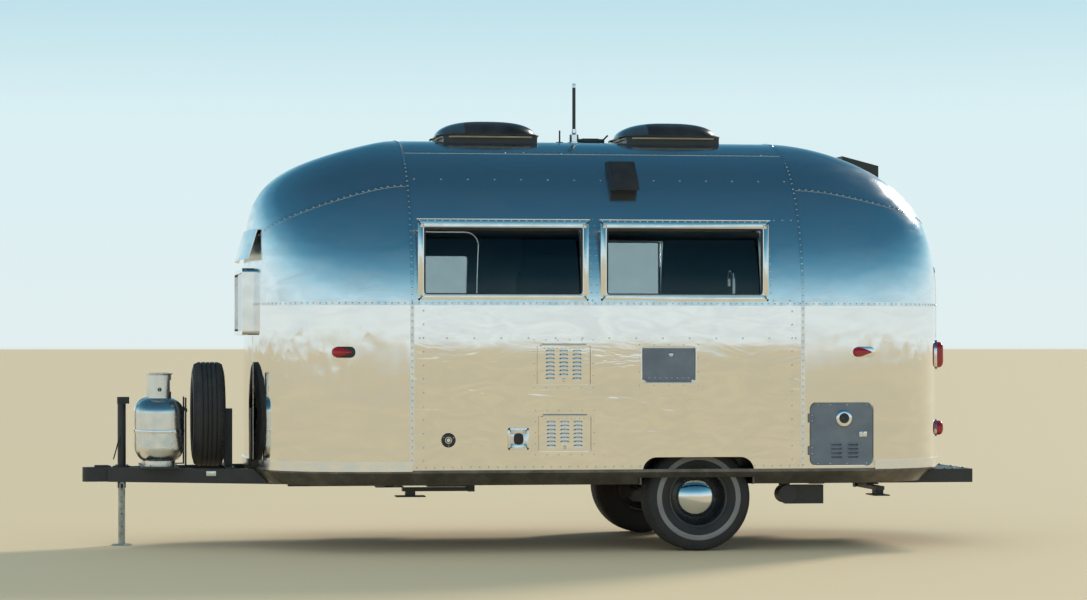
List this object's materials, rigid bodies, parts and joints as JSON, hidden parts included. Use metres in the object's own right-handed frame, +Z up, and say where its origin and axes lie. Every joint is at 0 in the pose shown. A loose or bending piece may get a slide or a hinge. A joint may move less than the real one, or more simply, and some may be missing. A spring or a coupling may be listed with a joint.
{
  "type": "travel caravan",
  "caption": "Riveted, mirror-polished aluminium travel caravan with round ends, a single axle, an A-frame tongue with jack, gas bottles and an upright spare wheel.",
  "frame": {"origin": "on the ground, below the middle of the caravan's overall length and width", "axes": "+X to the rear, -Y to the street side, +Y to the kerb side with the entry door, +Z up"},
  "size_m": [6.176, 2.2003, 3.248],
  "materials": {
    "mirror_skin": "mirror polished sheet",
    "polished_frame": "polished extrusion",
    "grey_door": "satin grey paint",
    "black_steel": "satin black paint",
    "zinc_steel": "zinc plated",
    "aluminium_tank": "bright spun aluminium",
    "tyre_rubber": "matt rubber",
    "wheel_black": "gloss black paint",
    "tinted_glass": "dark tint",
    "red_lens": "moulded lens",
    "belly_sheet": "dull sheet",
    "floor_board": "plain boards",
    "black_plastic": "moulded",
    "chrome_bright": "bright",
    "cabinet_dark": "dark veneer"
  },
  "bodies": {
    "caravan_body": {"main_rails": "black_steel", "tongue_rails": "black_steel", "cross_members": "black_steel", "rear_bumper": "black_steel", "coupler": "black_steel", "jack_sleeve": "black_steel", "safety_chain": "zinc_steel", "gas_tray": "black_steel", "gas_bottles": "aluminium_tank", "bottle_collars": "aluminium_tank", "spare_tyre": "tyre_rubber", "spare_wheel": "wheel_black", "spare_carrier": "black_steel", "axle_beam": "black_steel", "floor": "floor_board", "belly_pan": "belly_sheet", "wheel_wells": "belly_sheet", "front_wall": "mirror_skin", "front_dome": "mirror_skin", "rear_wall": "mirror_skin", "rear_dome": "mirror_skin", "street_side_lower": "mirror_skin", "street_side_upper": "mirror_skin", "kerb_side_lower": "mirror_skin", "kerb_side_upper": "mirror_skin", "roof_panel": "mirror_skin", "rub_trim": "polished_frame", "window_frames": "polished_frame", "window_panes": "tinted_glass", "front_visor": "mirror_skin", "lamps": "red_lens", "side_inlets": "black_plastic", "vent_bases": "black_plastic", "antenna": "chrome_bright", "roof_hoods": "mirror_skin", "stabiliser_brackets": "black_steel", "step_hangers": "black_steel", "waste_drain": "black_plastic", "galley_cabinet": "cabinet_dark", "galley_tap": "chrome_bright"},
    "street_wheel": {"tyre_street": "tyre_rubber", "wheel_street": "wheel_black"},
    "kerb_wheel": {"tyre_kerb": "tyre_rubber", "wheel_kerb": "wheel_black"},
    "entry_door_leaf": {"entry_door": "mirror_skin", "entry_door_pane": "tinted_glass"},
    "jack_foot_leg": {"jack_leg": "zinc_steel"},
    "front_street_leg": {"stabiliser_leg_front_street": "black_steel"},
    "front_kerb_leg": {"stabiliser_leg_front_kerb": "black_steel"},
    "rear_street_leg": {"stabiliser_leg_rear_street": "black_steel"},
    "rear_kerb_leg": {"stabiliser_leg_rear_kerb": "black_steel"},
    "access_leaf": {"access_door": "grey_door"},
    "upper_louvre_leaf": {"louvre_door_upper": "mirror_skin"},
    "lower_louvre_leaf": {"louvre_door_lower": "mirror_skin"},
    "heater_leaf": {"heater_door": "grey_door"},
    "front_vent_lid": {"vent_lid_front": "black_plastic"},
    "rear_vent_lid": {"vent_lid_rear": "black_plastic"},
    "step": {"entry_step": "black_steel"}
  },
  "joints": [
    {"name": "street_wheel_turn", "type": "hinge", "parent": "caravan_body", "child": "street_wheel", "pos_m": [1.055, -0.866, 0.362], "axis": [0, 1, 0], "continuous": true},
    {"name": "kerb_wheel_turn", "type": "hinge", "parent": "caravan_body", "child": "kerb_wheel", "pos_m": [1.055, 0.866, 0.362], "axis": [0, 1, 0], "continuous": true},
    {"name": "entry_door_hinge", "type": "hinge", "parent": "caravan_body", "child": "entry_door_leaf", "pos_m": [-0.809, 1.0793, 1.1], "axis": [0, 0, 1], "range_deg": [0, 110]},
    {"name": "jack_slide", "type": "slide", "parent": "caravan_body", "child": "jack_foot_leg", "axis": [0, 0, 1], "range_m": [0, 0.33]},
    {"name": "front_street_leg_hinge", "type": "hinge", "parent": "caravan_body", "child": "front_street_leg", "pos_m": [-0.45, -0.6, 0.41], "axis": [0, -1, 0], "range_deg": [0, 40]},
    {"name": "front_kerb_leg_hinge", "type": "hinge", "parent": "caravan_body", "child": "front_kerb_leg", "pos_m": [-0.45, 0.6, 0.41], "axis": [0, -1, 0], "range_deg": [0, 40]},
    {"name": "rear_street_leg_hinge", "type": "hinge", "parent": "caravan_body", "child": "rear_street_leg", "pos_m": [2.36, -0.37, 0.41], "axis": [1, 0, 0], "range_deg": [0, 40]},
    {"name": "rear_kerb_leg_hinge", "type": "hinge", "parent": "caravan_body", "child": "rear_kerb_leg", "pos_m": [2.36, 0.37, 0.41], "axis": [-1, 0, 0], "range_deg": [0, 40]},
    {"name": "access_door_hinge", "type": "hinge", "parent": "caravan_body", "child": "access_leaf", "pos_m": [0.826, -1.0763, 1.148], "axis": [1, 0, 0], "range_deg": [0, 95]},
    {"name": "upper_louvre_hinge", "type": "hinge", "parent": "caravan_body", "child": "upper_louvre_leaf", "pos_m": [0.1095, -1.0763, 1.396], "axis": [-1, 0, 0], "range_deg": [0, 110]},
    {"name": "lower_louvre_hinge", "type": "hinge", "parent": "caravan_body", "child": "lower_louvre_leaf", "pos_m": [0.1165, -1.0763, 0.925], "axis": [-1, 0, 0], "range_deg": [0, 110]},
    {"name": "heater_door_hinge", "type": "hinge", "parent": "caravan_body", "child": "heater_leaf", "pos_m": [1.79, -1.0763, 0.79], "axis": [0, 0, -1], "range_deg": [0, 100]},
    {"name": "front_vent_hinge", "type": "hinge", "parent": "caravan_body", "child": "front_vent_lid", "pos_m": [-0.621, 0, 2.852], "axis": [0, -1, 0], "range_deg": [0, 50]},
    {"name": "rear_vent_hinge", "type": "hinge", "parent": "caravan_body", "child": "rear_vent_lid", "pos_m": [0.677, 0, 2.852], "axis": [0, -1, 0], "range_deg": [0, 50]},
    {"name": "entry_step_slide", "type": "slide", "parent": "caravan_body", "child": "step", "axis": [0, 1, 0], "range_m": [0, 0.2]}
  ]
}
